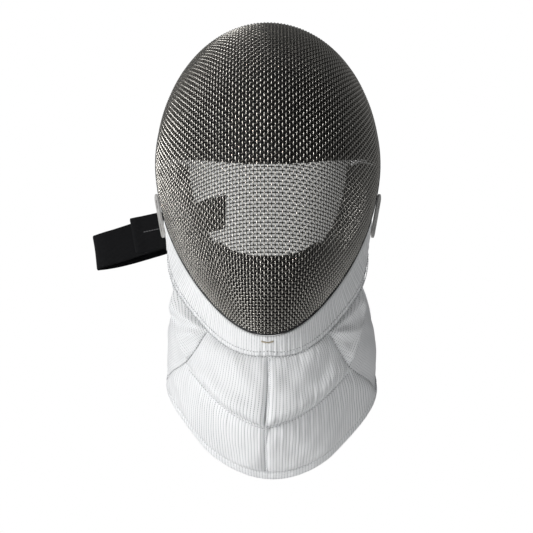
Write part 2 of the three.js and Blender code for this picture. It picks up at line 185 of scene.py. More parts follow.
def table_value(table, place, column):
    """A smooth curve through the rows of a short table, as in the CAD."""
    keys, values = table[:, 0], table[:, column]
    slopes = np.empty(len(keys))
    slopes[1:-1] = (values[2:] - values[:-2]) / (keys[2:] - keys[:-2])
    slopes[0] = (values[1] - values[0]) / (keys[1] - keys[0])
    slopes[-1] = (values[-1] - values[-2]) / (keys[-1] - keys[-2])
    i = np.clip(np.searchsorted(keys, place) - 1, 0, len(keys) - 2)
    run = keys[i + 1] - keys[i]
    t = (place - keys[i]) / run
    bend = slopes[i] * t * (1 - t) ** 2 - slopes[i + 1] * t * t * (1 - t)
    return mix(values[i], values[i + 1], t * t * (3 - 2 * t)) + run * bend


# ---- the bowl's surface ----

def front_depth(z):
    up = np.clip((z - CROWN_FROM) / CROWN_RISE, 0, 1)
    down = np.clip((CHIN_FROM - z) / CHIN_RADIUS, 0, 1)
    return CROWN_DEPTH * (1 - np.sqrt(1 - up**2)) + CHIN_RADIUS * (1 - np.sqrt(1 - down**2))


def half_width(z):
    up = np.clip((z - WIDEST_Z) / (CROWN_TOP - WIDEST_Z), 0, 1)
    down = np.maximum((WIDEST_Z - z) / NARROWING_RUN, 0)
    return WIDEST_HALF * (np.sqrt(1 - up**2) - NARROWING * down**NARROWING_POWER)


def axis_depth(z):
    up = np.clip((z - CROWN_FROM) / CROWN_RISE, 0, 1)
    return AXIS_DEPTH - (AXIS_DEPTH - CROWN_DEPTH) * up**2


def rim_depth(z):
    up = np.maximum((z - EAR_Z) / RIM_RISE, 0)
    down = np.maximum((EAR_Z - z) / (EAR_Z - CHIN_Z), 0)
    return EAR_DEPTH + RIM_BACK * up**RIM_BACK_POWER - RIM_CHIN_RUN * down**RIM_CHIN_POWER


def bowl_level(points):
    """Below 1 inside the bowl, 1 on its surface."""
    x, y, z = points[..., 0], points[..., 1], points[..., 2]
    across = x / np.maximum(half_width(z), 1e-3)
    along = (y - axis_depth(z)) / np.maximum(axis_depth(z) - front_depth(z), 1e-3)
    return np.where(z < CROWN_TOP, across**2 + along**2, 1 + np.maximum(z - CROWN_TOP, 1e-6))


def bowl_normal(points, step=0.02):
    slopes = [bowl_level(points + step * axis) - bowl_level(points - step * axis) for axis in np.eye(3)]
    return unit(np.stack(slopes, -1))


def ray_point(turn, opening):
    """Where a ray reaches the bowl: turn goes round from the top, opening off the forward axis."""
    turn, opening = np.broadcast_arrays(turn, opening)
    ray = np.stack([np.sin(opening) * np.sin(turn), -np.cos(opening), np.sin(opening) * np.cos(turn)], -1)
    inside = lambda reach: bowl_level(RAY_FROM + reach[..., None] * ray) < 1
    reach = bisect(turn.shape, 0, FAR, inside)
    return RAY_FROM + reach[..., None] * ray


def rim_opening(turn):
    turn = np.asarray(turn, float)
    before_rim = lambda opening: (lambda p: p[..., 1] < rim_depth(p[..., 2]))(ray_point(turn, opening))
    return bisect(turn.shape, 0, WIDEST_OPENING, before_rim)


def bowl_point(turn, spread, inset=0.0):
    """A point at a share of the way from the bowl's front pole (0) to its rim (1), set in."""
    turn, spread, inset = np.broadcast_arrays(np.asarray(turn, float), spread, inset)
    points = ray_point(turn, spread * rim_opening(turn))
    return points - bowl_normal(points) * inset[..., None]


def worn(points):
    """The bowl's frame leaned back as the mask is worn."""
    x, y, z = points[..., 0], points[..., 1], points[..., 2]
    lean_y = y * math.cos(BOWL_TILT) + z * math.sin(BOWL_TILT)
    lean_z = z * math.cos(BOWL_TILT) - y * math.sin(BOWL_TILT)
    return np.stack([x, lean_y, lean_z], -1)


SEAT = worn(bowl_point(0.0, SEAT_SPREAD, MESH_WALL + PAD_CLEARANCE + FOREHEAD_THICKNESS))


def to_row(points):
    return (worn(points) - SEAT) * MM


# ---- the bib's surface ----

rim_z = np.linspace(CHIN_Z, BIB_TOP_Z, FINE)
rim_along = (axis_depth(rim_z) - rim_depth(rim_z)) / (axis_depth(rim_z) - front_depth(rim_z))
rim_x = half_width(rim_z) * np.sqrt(np.maximum(1 - rim_along**2, 0))
rim_turn = np.arctan2(rim_x, BIB_AXIS_Y - rim_depth(rim_z))
rim_radius = np.hypot(rim_x, BIB_AXIS_Y - rim_depth(rim_z))


def bib_radius(down, turn):
    front, quarter, side = (table_value(BIB_SECTIONS, down, column) for column in (1, 2, 3))
    share = np.minimum(np.abs(turn) / (math.pi / 2), 1)
    near = mix(front, quarter, smoothstep(share, 0, 0.5))
    return np.where(share < 0.5, near, mix(quarter, side, smoothstep(share, 0.5, 1)))


def bib_face(round_, down):
    """The bib's face: round from -1, the left wing's end, to 1, and down from the rim to the hem."""
    round_, down = np.broadcast_arrays(np.asarray(round_, float), down)
    top_turn = np.abs(round_) * BIB_TOP_TURN
    top_z = np.interp(top_turn, rim_turn, rim_z)
    top_radius = np.interp(top_turn, rim_turn, rim_radius)
    turn = round_ * mix(BIB_TOP_TURN, BIB_HEM_TURN, down)
    hem_z = HEM_LOW_Z + HEM_RISE * (1 - np.cos(HEM_WAVES * (round_ - HEM_LOW_AT)))
    radius = mix(top_radius, bib_radius(down, turn), smoothstep(down, 0, 0.2))
    sway = smoothstep(down, SWAY_FROM, SWAY_TO)
    swayed = turn + sway * SWAY_TURN
    x = radius * np.sin(swayed) + sway * SWAY_SHIFT
    return np.stack([x, BIB_AXIS_Y - radius * np.cos(swayed), mix(top_z, hem_z, down)], -1)


def bib_out(round_, down, step=0.01):
    across = bib_face(round_ + step, down) - bib_face(round_ - step, down)
    along = bib_face(round_, np.minimum(down + step, 1)) - bib_face(round_, np.maximum(down - step, 0))
    return -unit(np.cross(across, along))


def bib_point(round_, down, proud=0.0):
    round_, down, proud = np.broadcast_arrays(np.asarray(round_, float), down, proud)
    return bib_face(round_, down) + bib_out(round_, down) * proud[..., None]


def band_down(round_):
    return BAND_FRONT + BAND_EXTRA * np.sin(math.pi * np.abs(round_))


def v_seam_down(round_):
    share = np.clip(1 - np.abs(round_) / V_REACH, 0, 1)
    return mix(V_SIDE, V_CENTRE, share**2)


def side_seam_round(down):
    return table_value(SIDE_SEAM, down, 1)


# ---- meshes ----

def make_object(name, points, faces, material, uv=None, replaces=()):
    """A smooth mesh object from points in the bowl's frame, riding on the mask's one body."""
    mesh = bpy.data.meshes.new(name)
    mesh.from_pydata(to_row(np.asarray(points, float)).tolist(), [], faces)
    mesh.materials.append(material)
    mesh.shade_smooth()
    if uv is not None:
        layer = mesh.uv_layers.new(name="cloth_mm")
        corners = np.empty(len(mesh.loops), int)
        mesh.loops.foreach_get("vertex_index", corners)
        layer.data.foreach_set("uv", np.asarray(uv, np.float32)[corners].ravel())
    mesh.validate()
    obj = bpy.data.objects.new(name, mesh)
    bpy.context.scene.collection.objects.link(obj)
    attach(obj, "root")
    if replaces:
        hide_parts(*replaces)
    return obj


def unit_grid(columns, rows):
    """p and q from 0 to 1 over a grid with so many cells each way."""
    return np.meshgrid(np.linspace(0, 1, columns + 1), np.linspace(0, 1, rows + 1), indexing="ij")


def grid_quads(columns, rows, first=0, flip=False):
    """Quads over a grid of points numbered column by column from first, rows + 1 points to a column."""
    i, j = np.meshgrid(np.arange(columns), np.arange(rows), indexing="ij")
    number = lambda a, b: first + a * (rows + 1) + b
    quads = np.stack([number(i, j), number(i + 1, j), number(i + 1, j + 1), number(i, j + 1)], -1)
    quads = quads.reshape(-1, 4)
    return quads[:, ::-1] if flip else quads


def wall(outer, inner):
    """A closed wall between two grids of points."""
    columns, rows = outer.shape[0] - 1, outer.shape[1] - 1
    count = outer.shape[0] * outer.shape[1]
    number = lambda a, b: a * (rows + 1) + b
    i, j = np.arange(columns), np.arange(rows)
    quads = [grid_quads(columns, rows), grid_quads(columns, rows, count, flip=True)]
    for a, b in ((number(i, rows), number(i + 1, rows)), (number(0, j), number(0, j + 1))):
        quads.append(np.stack([a, b, b + count, a + count], -1))
    for a, b in ((number(i, 0), number(i + 1, 0)), (number(columns, j), number(columns, j + 1))):
        quads.append(np.stack([a, a + count, b + count, b], -1))
    points = np.concatenate([outer.reshape(-1, 3), inner.reshape(-1, 3)])
    faces = np.concatenate(quads)
    a, b, c, d = (points[faces[:, k]] for k in range(4))
    volume = (a * np.cross(b, c)).sum() + (a * np.cross(c, d)).sum()
    if volume < 0:
        faces = faces[:, ::-1]
    return points, faces.tolist()


def cloth_wall(name, outer, inner, uv, material, replaces):
    """A closed wall of cloth whose two faces share a uv in millimetres."""
    points, faces = wall(outer, inner)
    uv = np.stack(np.broadcast_arrays(*uv), -1).reshape(-1, 2)
    return make_object(name, points, faces, material, np.concatenate([uv, uv]), replaces)


def tube_faces(count, sides, closed=False):
    """Faces of a tube of count rings of points, with flat ends if it is open."""
    i, k = np.meshgrid(np.arange(count if closed else count - 1), np.arange(sides), indexing="ij")
    after, beside = (i + 1) % count, (k + 1) % sides
    quads = np.stack([i * sides + k, after * sides + k, after * sides + beside, i * sides + beside], -1)
    faces = quads.reshape(-1, 4).tolist()
    if not closed:
        last = (count - 1) * sides
        faces.append(list(range(sides)))
        faces.append([last + k for k in range(sides - 1, -1, -1)])
    return faces


def tube(path, side, out, sides, half_across, half_out, closed=False):
    """Points and faces of a tube of elliptical section along a path."""
    angle = np.arange(sides) / sides * TAU
    across = half_across * np.cos(angle)[:, None] * side[:, None, :]
    outward = half_out * np.sin(angle)[:, None] * out[:, None, :]
    points = (path[:, None, :] + (across + outward)).reshape(-1, 3)
    return points, tube_faces(len(path), sides, closed)


def along_path(path, closed=False):
    if closed:
        return unit(np.roll(path, -1, 0) - np.roll(path, 1, 0))
    return unit(np.gradient(path, axis=0))


def run_lengths(path):
    """How far along a path each of its points is."""
    return np.concatenate([[0], np.cumsum(np.linalg.norm(np.diff(path, axis=0), axis=1))])


def at_lengths(stops, lengths, values):
    return np.stack([np.interp(stops, lengths, values[:, k]) for k in range(3)], -1)


def join_parts(parts):
    """One list of points and faces from several."""
    points, faces, first = [], [], 0
    for part_points, part_faces in parts:
        points.append(part_points)
        faces.extend([[first + k for k in face] for face in part_faces])
        first += len(part_points)
    return np.concatenate(points), faces


# ---- materials ----

class Nodes:
    """A material's node tree, with short calls that make and link nodes."""

    def __init__(self, name):
        self.material = bpy.data.materials.new(name)
        self.material.use_nodes = True
        self.tree = self.material.node_tree
        self.shader = self.tree.nodes["Principled BSDF"]

    def add(self, kind, inputs=(), **settings):
        node = self.tree.nodes.new(kind)
        for key, value in settings.items():
            setattr(node, key, value)
        for key, value in dict(inputs).items():
            self.put(node.inputs[key], value)
        return node

    def put(self, socket, value):
        if isinstance(value, bpy.types.NodeSocket):
            self.tree.links.new(value, socket)
        else:
            socket.default_value = value

    def math(self, operation, a, b=0.0):
        return self.add("ShaderNodeMath", {0: a, 1: b}, operation=operation).outputs[0]

    def ramp(self, value, low, high, to_low=0.0, to_high=1.0):
        inputs = {"Value": value, "From Min": low, "From Max": high, "To Min": to_low, "To Max": to_high}
        return self.add("ShaderNodeMapRange", inputs).outputs["Result"]

    def blend(self, share, a, b):
        node = self.add("ShaderNodeMix", data_type="RGBA")
        for number, value in ((0, share), (6, a), (7, b)):
            self.put(node.inputs[number], value)
        return node.outputs[2]

    def noise(self, scale, detail=2.0, vector=None):
        node = self.add("ShaderNodeTexNoise", {"Scale": scale, "Detail": detail})
        self.put(node.inputs["Vector"], vector or self.place())
        return node.outputs["Fac"]

    def place(self):
        return self.add("ShaderNodeTexCoord").outputs["Object"]

    def uv_parts(self):
        uv = self.add("ShaderNodeUVMap", uv_map="cloth_mm").outputs["UV"]
        return self.add("ShaderNodeSeparateXYZ", {0: uv}).outputs

    def wave(self, value, period):
        """A sine of a value, from 0 to 1, one turn every period."""
        return self.ramp(self.math("SINE", self.math("MULTIPLY", value, TAU / period)), -1.0, 1.0)

    def bump(self, height, distance):
        inputs = {"Height": height, "Distance": distance, "Strength": 1.0}
        self.put(self.shader.inputs["Normal"], self.add("ShaderNodeBump", inputs).outputs["Normal"])

    def set(self, **sockets):
        for name, value in sockets.items():
            self.put(self.shader.inputs[name.replace("_", " ")], value)

    def look_even(self, color):
        """The camera sees an even colour, however little light falls on the surface."""
        seen = self.add("ShaderNodeLightPath").outputs["Is Camera Ray"]
        bright = self.add("ShaderNodeEmission", {"Color": color}).outputs["Emission"]
        both = self.add("ShaderNodeMixShader", {0: seen, 1: self.shader.outputs["BSDF"], 2: bright})
        self.put(self.tree.nodes["Material Output"].inputs["Surface"], both.outputs["Shader"])


# the wire steel's painted highlight colour and painted shade colour
PAINTED_HIGHLIGHT_STEEL, PAINTED_SHADE_STEEL = (1.0, 0.965, 0.9, 1), (0.03, 0.028, 0.025, 1)
PLATE_STEEL = (0.72, 0.70, 0.67, 1), (0.92, 0.91, 0.89, 1)
TRIM_BLACK = (0.012, 0.012, 0.013, 1), (0.03, 0.03, 0.031, 1)
PAD_BLACK = (0.010, 0.010, 0.012, 1), (0.022, 0.022, 0.024, 1)
ELASTIC_BLACK = (0.002, 0.002, 0.0026, 1), (0.007, 0.0075, 0.009, 1)
# the third colour is the painted shade in the knit's holes
CLOTH_WHITE, CLOTH_SHADE, CLOTH_HOLE_PAINTED_SHADE = (0.9, 0.906, 0.912, 1), (0.84, 0.848, 0.856, 1), (0.28, 0.29, 0.3, 1)
# painted shade seen through the open part of the mesh, paler at the left
CARD_LEFT_PAINTED_SHADE, CARD_RIGHT_PAINTED_SHADE = (0.66, 0.66, 0.65, 1), (0.26, 0.26, 0.255, 1)
RIB_PITCH = 2.45  # mm between the cloth's ribs
ELASTIC_RIB, ELASTIC_STRAND = 1.1, 1.3  # mm, along and across the strap
THREAD_GRAIN, THREAD_SHADE = 900, 0.8


def steel_wire():
    """Steel whose uv carries a painted highlight: bright on the knuckles, with painted shade where wires
    cross below.
    """
    made = Nodes("steel_wire")
    painted_highlight = made.uv_parts()["X"]
    uneven = made.ramp(made.noise(90, 3), 0.35, 0.7, 0.85, 1.0)
    made.set(Base_Color=made.blend(made.math("MULTIPLY", painted_highlight, uneven), PAINTED_SHADE_STEEL, PAINTED_HIGHLIGHT_STEEL))
    made.set(Metallic=1.0, Roughness=0.25)
    return made.material


def black_trim():
    made = Nodes("black_trim")
    made.set(Base_Color=made.blend(made.noise(300), *TRIM_BLACK), Roughness=0.6)
    made.bump(made.noise(1500), 0.0002)
    return made.material


def bib_cloth(name, hole_pitch=1.9, rib_height=0.00007):
    """White ribbed cloth: ribs run along the uv's v, in millimetres, with small holes between them that are
    darkened with painted shade.
    """
    made = Nodes(name)
    parts = made.uv_parts()
    wander = made.math("MULTIPLY", made.math("SUBTRACT", made.noise(40, 2), 0.5), 0.8)
    across = made.math("ADD", parts["X"], wander)
    rib = made.wave(across, RIB_PITCH)
    dots = made.wave(parts["Y"], hole_pitch)
    # painted shade: the colour darkens in the rib valleys at the knit's holes, which are also sunk by the
    # bump
    valley = made.ramp(rib, 0.35, 0.0)
    hole_depth_and_shade = made.math("MULTIPLY", valley, made.ramp(dots, 0.35, 0.95, 0.3, 1.0))
    knit = made.math("MULTIPLY", dots, 0.25)
    height = made.math("SUBTRACT", made.math("ADD", made.math("POWER", rib, 0.5), knit), hole_depth_and_shade)
    soft = made.ramp(made.noise(25, 3), 0.3, 0.7)
    patchy_hole_shade = made.math("MULTIPLY", hole_depth_and_shade, made.ramp(made.noise(14), 0.35, 0.6, 0.4, 1.0))
    made.set(Base_Color=made.blend(patchy_hole_shade, made.blend(soft, CLOTH_WHITE, CLOTH_SHADE), CLOTH_HOLE_PAINTED_SHADE))
    made.set(Roughness=0.85, Sheen_Weight=0.15, Sheen_Roughness=0.5)
    made.bump(height, rib_height)
    return made.material


def thread(name, color):
    made = Nodes(name)
    darker = tuple(THREAD_SHADE * channel for channel in color[:3]) + (1,)
    made.set(Base_Color=made.blend(made.noise(THREAD_GRAIN), color, darker), Roughness=0.7)
    return made.material


def pad_cloth():
    made = Nodes("pad_cloth")
    weave = made.add("ShaderNodeTexVoronoi", {"Scale": 900, "Vector": made.place()}).outputs["Distance"]
    made.set(Base_Color=made.blend(made.ramp(made.noise(60, 3), 0.3, 0.7), *PAD_BLACK))
    made.set(Roughness=0.95, Sheen_Weight=0.04, Sheen_Roughness=0.4)
    made.bump(weave, 0.0004)
    return made.material


def strap_elastic():
    made = Nodes("strap_elastic")
    parts = made.uv_parts()
    ribs = made.wave(parts["X"], ELASTIC_RIB)
    strands = made.wave(parts["Y"], ELASTIC_STRAND)
    height = made.math("ADD", ribs, made.math("MULTIPLY", strands, 0.4))
    # painted shade: the rib tops are a little lighter and the valleys darker, following the bump
    made.set(Base_Color=made.blend(made.ramp(height, 0.2, 1.4), *ELASTIC_BLACK))
    made.set(Roughness=0.85, Sheen_Weight=0.02, Specular_IOR_Level=0.2)
    made.bump(height, 0.0003)
    return made.material


def plate_steel():
    made = Nodes("plate_steel")
    place = made.add("ShaderNodeMapping", {"Vector": made.place(), "Scale": (60, 60, 900)})
    brushed = made.noise(1.0, 3, place.outputs["Vector"])
    made.set(Base_Color=made.blend(brushed, *PLATE_STEEL))
    made.set(Metallic=0.4, Roughness=made.ramp(brushed, 0.3, 0.7, 0.3, 0.42))
    made.bump(made.noise(700, 3), 0.00005)
    return made.material


def floor_paint():
    made = Nodes("floor")
    made.set(Base_Color=(0.8, 0.8, 0.8, 1), Roughness=0.9)
    made.look_even((1, 1, 1, 1))
    return made.material


def paint_shade_card():
    """A sheet that shows the camera an even painted shade, paler at its left end and darker at its right."""
    made = Nodes("painted_shade_card")
    made.set(Base_Color=(0.4, 0.4, 0.4, 1), Roughness=0.9)
    place = made.add("ShaderNodeTexCoord").outputs["Generated"]
    across = made.add("ShaderNodeSeparateXYZ", {0: place}).outputs["X"]
    made.look_even(made.blend(across, CARD_LEFT_PAINTED_SHADE, CARD_RIGHT_PAINTED_SHADE))
    return made.material


WIRE, TRIM = steel_wire(), black_trim()
CLOTH = bib_cloth("bib_cloth")
BAND_CLOTH = bib_cloth("band_cloth", hole_pitch=1.2, rib_height=0.00005)
THREAD = thread("bib_thread", (0.86, 0.87, 0.88, 1))
# a dark grey thread colour for dots of painted shade at the needle holes
NEEDLE_HOLE_SHADE = thread("needle_hole_shade", (0.3, 0.305, 0.315, 1))
TACK_THREAD = thread("tack_thread", (0.55, 0.47, 0.34, 1))
GREY_THREAD = thread("grey_thread", (0.16, 0.16, 0.165, 1))
PAD, STRAP, PLATE = pad_cloth(), strap_elastic(), plate_steel()


# ---- the woven bowl ----

def paced(curve, pitch):
    """Points every pitch along a fine curve, from its first point."""
    lengths = run_lengths(curve)
    return at_lengths(np.arange(0, lengths[-1], pitch), lengths, curve)


def middle_wires():
    """The middle upright wire, upwards and downwards, and the straightest wire across, to the right."""
    start = math.atan2(CROSSING_Z - RAY_FROM[2], RAY_FROM[1] - front_depth(np.array(CROSSING_Z)))
    up = ray_point(0.0, np.linspace(start, WIRE_TURN, FINE))
    swing = np.linspace(start, -WIRE_TURN, FINE)
    down = ray_point(np.where(swing < 0, math.pi, 0.0), np.abs(swing))
    crossing = up[0]
    backward = -bowl_normal(crossing)
    depth = np.linspace(0, WIRE_DEPTH, FINE) ** 2 / WIRE_DEPTH
    middle = crossing + depth[:, None] * backward
    z = middle[:, 2]
    along = (middle[:, 1] - axis_depth(z)) / (axis_depth(z) - front_depth(z))
    middle[:, 0] = half_width(z) * np.sqrt(np.maximum(1 - along**2, 0))
    return paced(up, WIRE_PITCH), paced(down, WIRE_PITCH), paced(middle[np.abs(along) <= 1], WIRE_PITCH)


def net_quarter(upright, across):
    """The crossings of an even net between two middle wires: every cell side is one pitch long."""
    net = np.full((len(across), len(upright), 3), np.nan)
    net[0], net[:, 0] = upright, across
    for diagonal in range(2, len(across) + len(upright) - 1):
        i = np.arange(max(1, diagonal - len(upright) + 1), min(len(across), diagonal))
        j = diagonal - i
        a, b, before = net[i - 1, j], net[i, j - 1], net[i - 1, j - 1]
        middle = (a + b) / 2
        reach = np.sqrt(WIRE_PITCH**2 - ((a - b) ** 2).sum(-1) / 4)[:, None]
        ahead = unit(middle - before)
        out = unit(np.cross(a - b, ahead))
        out *= np.sign((out * (middle - RAY_FROM)).sum(-1))[:, None]
        at = lambda lift: middle + reach * (np.cos(lift)[:, None] * ahead + np.sin(lift)[:, None] * out)
        lift = bisect(len(i), -MOST_LIFT, MOST_LIFT, lambda angle: bowl_level(at(angle)) < 1)
        net[i, j] = at(lift)
    return net


def whole_net():
    up, down, across = middle_wires()
    right = np.concatenate([net_quarter(down, across)[:, :0:-1], net_quarter(up, across)], axis=1)
    left = right[:0:-1] * np.array([-1, 1, 1])
    return np.concatenate([left, right]), len(across) - 1, len(down) - 1


def woven_wire(nodes, over):
    """One wire through a row of crossings, over and under in turn, cut off at the rim: its points, its
    faces and how far out (1) or in (-1) each point swings."""
    known = ~np.isnan(nodes[:, 0])
    nodes, over = nodes[known], over[known]
    if len(nodes) < 3:
        return None
    out = bowl_normal(nodes)
    lift = np.zeros(2 * len(nodes) - 1)
    lift[::2] = over
    path = np.empty((len(lift), 3))
    path[::2] = nodes + out * (over * WIRE_CRIMP)[:, None]
    path[1::2] = (nodes[1:] + nodes[:-1]) / 2
    out_all = np.empty_like(path)
    out_all[::2], out_all[1::2] = out, unit(out[1:] + out[:-1])
    past = path[:, 1] - rim_depth(path[:, 2])
    inside = np.flatnonzero(past < 0)
    if len(inside) < 3:
        return None
    first, last = inside[0], inside[-1]
    kept = slice(max(first - 1, 0), last + 2)
    path, out_all, past, lift = path[kept].copy(), out_all[kept], past[kept], lift[kept]
    for end, step in ((0, 1), (len(path) - 1, -1)):
        if past[end] > 0:
            share = past[end] / (past[end] - past[end + step])
            path[end] = mix(path[end], path[end + step], min(share, 0.95))
    along = along_path(path)
    side = unit(np.cross(out_all, along))
    path = path - out_all * MESH_WALL / 2
    points, faces = tube(path, side, np.cross(along, side), WIRE_SIDES, WIRE_RADIUS, WIRE_RADIUS)
    return points, faces, np.repeat(lift, WIRE_SIDES)


def woven_bowl():
    net, middle_i, middle_j = whole_net()
    i, j = np.meshgrid(np.arange(net.shape[0]), np.arange(net.shape[1]), indexing="ij")
    over = np.where((i + j) % 2, 1.0, -1.0)
    upright = [woven_wire(net[k], over[k]) for k in range(net.shape[0])]
    across = [woven_wire(net[:, k], -over[:, k]) for k in range(net.shape[1])]
    groups = {
        "wires_upright_left": upright[:middle_i],
        "wires_upright_right": upright[middle_i:],
        "wires_across_lower": across[:middle_j - ROWS_LOWER],
        "wires_across_upper": across[middle_j - ROWS_LOWER:],
    }
    for name, wires in groups.items():
        wires = [wire for wire in wires if wire]
        points, faces = join_parts([wire[:2] for wire in wires])
        swing = np.concatenate([wire[2] for wire in wires])
        # painted highlight where a wire swings out over a crossing, painted shade where it dips under
        painted_highlight = smoothstep(swing, PAINTED_SHADE_SWING, PAINTED_HIGHLIGHT_SWING)
        # the wires across get less of the painted highlight over the face than towards the edges
        if name.startswith("wires_across"):
            off_face = smoothstep(np.hypot(points[:, 0], points[:, 2] - FACE_Z), FACE_REACH, EDGE_REACH)
            painted_highlight = painted_highlight * mix(ACROSS_PAINTED_HIGHLIGHT, ACROSS_EDGE_PAINTED_HIGHLIGHT, off_face)
        make_object(name, points, faces, WIRE, uv=np.stack([painted_highlight, painted_highlight], -1),
                    replaces=["mesh_shell"])


TRIM_HALF_WIDTH, TRIM_HALF_HEIGHT, TRIM_SIDES, TRIM_STEPS = 1.3, 1.7, 10, 360


def edge_trim():
    turn = np.linspace(0, TAU, TRIM_STEPS + 1)[:-1]
    path = bowl_point(turn, 1.0, MESH_WALL / 2)
    out = bowl_normal(path)
    side = unit(np.cross(along_path(path, closed=True), out))
    points, faces = tube(path, side, out, TRIM_SIDES, TRIM_HALF_WIDTH, TRIM_HALF_HEIGHT, closed=True)
    make_object("edge_tape", points, faces, TRIM, replaces=["edge_rim"])


# ---- pads ----

FOREHEAD_TURN, FOREHEAD_LOWEST_Z, FOREHEAD_TO_RIM = math.radians(78.5), 31.0, 0.95
FOREHEAD_COLUMNS = 80
CHEEK_FROM, CHEEK_TO = math.radians(79), math.radians(137.5)
CHEEK_FROM_SPREAD, CHEEK_TO_RIM, CHEEK_THICKNESS = 0.66, 0.98, 20.0
CHIN_PAD_FROM = math.radians(138.1)
CHIN_PAD_FROM_SPREAD, CHIN_PAD_TO_RIM, CHIN_PAD_THICKNESS = 0.5, 1.02, 11.0
PAD_CROWN = 0.08  # the share of a pad's height over which its edge rounds off
PAD_EDGE_DEPTH, PAD_EDGE_GAP = 0.35, 0.3  # where its two faces meet, and how far apart they still are


def pad(name, columns, rows, turn_at, spread_at, thickness, kept_at_rim=0.0):
    """A crowned pad inside the bowl; kept_at_rim is how much of the crown is left at the rim."""
    p, q = unit_grid(columns, rows)
    turn = turn_at(p)
    spread = spread_at(turn, q)
    edge = np.minimum(np.minimum(p, 1 - p) * 1.6, np.minimum(q, 1 - q + kept_at_rim))
    crown = np.sqrt(1 - (1 - np.clip(edge / PAD_CROWN, 0, 1)) ** 2)
    near = MESH_WALL + PAD_CLEARANCE
    middle = near + thickness * PAD_EDGE_DEPTH
    outer = bowl_point(turn, spread, mix(middle, near, crown))
    inner = bowl_point(turn, spread, mix(middle + PAD_EDGE_GAP, near + thickness, crown))
    points, faces = wall(outer, inner)
    made = make_object(name + "_cover", points, faces, PAD, replaces=[name])


def pads():
    fine_turn = np.linspace(-FOREHEAD_TURN, FOREHEAD_TURN, FOREHEAD_COLUMNS + 1)
    below = lambda spread: worn(bowl_point(fine_turn, spread))[..., 2] < FOREHEAD_LOWEST_Z
    lowest = bisect(fine_turn.shape, 0.02, 0.9, below)
    low_spread = lambda turn: np.interp(turn, fine_turn, lowest)
    pad("forehead_pad", FOREHEAD_COLUMNS, 40, lambda p: mix(-FOREHEAD_TURN, FOREHEAD_TURN, p),
        lambda turn, q: mix(low_spread(turn), FOREHEAD_TO_RIM, q), FOREHEAD_THICKNESS)
    for side, word in SIDES:
        pad("cheek_pad_" + word, 30, 24, lambda p: side * mix(CHEEK_FROM, CHEEK_TO, p),
            lambda turn, q: mix(CHEEK_FROM_SPREAD, CHEEK_TO_RIM, q), CHEEK_THICKNESS)
    pad("chin_pad", 48, 24, lambda p: mix(CHIN_PAD_FROM, TAU - CHIN_PAD_FROM, p),
        lambda turn, q: mix(CHIN_PAD_FROM_SPREAD, CHIN_PAD_TO_RIM, q), CHIN_PAD_THICKNESS,
        kept_at_rim=0.05)


# ---- the bib ----

ROUND_MM, DOWN_MM = 150.0, 150.0  # about how long one unit of round and of down is
PUCKER_PERIODS = 5.5, 8.0, 13.0
PUCKER_DRIFT = 11.0
UNEVEN_SCALES = 14.0, 22.0, 34.0
HEM_REST = 0.4  # how much of a panel's filling is left where it meets the hem


def column_lengths(points):
    """How long each column of a grid of points is."""
    return np.linalg.norm(np.diff(points, axis=1), axis=-1).sum(1)[:, None]


def ridge(distance, middle, width):
    """1 along a line, falling to 0 a few widths to each side of it."""
    return np.exp(-((distance - middle) / width) ** 2)


def rise(distance, width):
    """0 at a seam, close to 1 a few widths away."""
    return 1 - np.exp(-np.maximum(distance, 0) / width)


def puckers(along_mm, distance, seed, height=0.5, fade=7.0):
    """Small waves that a line of stitches draws into the cloth beside it."""
    rng = np.random.default_rng(seed)
    total = np.zeros(np.broadcast(along_mm, distance).shape)
    for period in PUCKER_PERIODS:
        drift = np.sin(along_mm / PUCKER_DRIFT + seed)
        total = total + np.sin(along_mm * TAU / period + rng.uniform(0, TAU) + drift)
    return height / len(PUCKER_PERIODS) * total * np.exp(-np.maximum(distance, 0) / fade)


def uneven(round_, down, seed, height):
    """Broad shallow unevenness of a hand-filled panel."""
    rng = np.random.default_rng(seed)
    total = 0.0
    for scale in UNEVEN_SCALES:
        phase = rng.uniform(0, TAU, 2)
        waves = np.sin(round_ * scale * 1.3 + phase[0]) * np.sin(down * scale + phase[1])
        total = total + waves * UNEVEN_SCALES[0] / scale
    return height * total


def filling(gaps, inner, outer, top, bottom, kept_at_bottom=0.0):
    """How full a panel is, from 0 at its seams to 1: each edge has the mm over which the filling rises."""
    low = mix(kept_at_bottom, 1, rise(gaps["bottom"], bottom))
    return rise(gaps["inner"], inner) * rise(gaps["outer"], outer) * rise(gaps["top"], top) * low


def panel(name, columns, rows, place, height, uv_at, replaces):
    """A quilted panel: place gives round and down for p and q, height its proud distance in mm. The
    gaps handed to height are each point's distances in mm from the panel's four edges."""
    p, q = unit_grid(columns, rows)
    round_, down = place(p, q)
    base = bib_face(round_, down)
    width = np.linalg.norm(np.diff(base, axis=0), axis=-1).sum(0)[None, :]
    tall = column_lengths(base)
    gaps = {"inner": p * width, "outer": (1 - p) * width, "top": q * tall, "bottom": (1 - q) * tall}
    proud = height(round_, down, gaps)
    made = cloth_wall(name, bib_point(round_, down, proud), bib_point(round_, down, -BIB_WALL),
                      uv_at(round_, down), CLOTH, replaces)


def upright_ribs(round_, down):
    return round_ * ROUND_MM, down * DOWN_MM


SETTLING = 12


def front_place(side, from_down, to_down):
    """The place function of a front panel, which runs out to the curved side seam: round and down
    depend on each other there, so they are worked out in turn until they settle."""
    def place(p, q):
        round_, down = p * 0.5, q
        for _ in range(SETTLING):
            down = mix(from_down(round_), to_down(round_), q)
            seam = side_seam_round(down)
            round_ = p * side_seam_round(mix(from_down(seam), to_down(seam), q))
        return side * round_, down
    return place


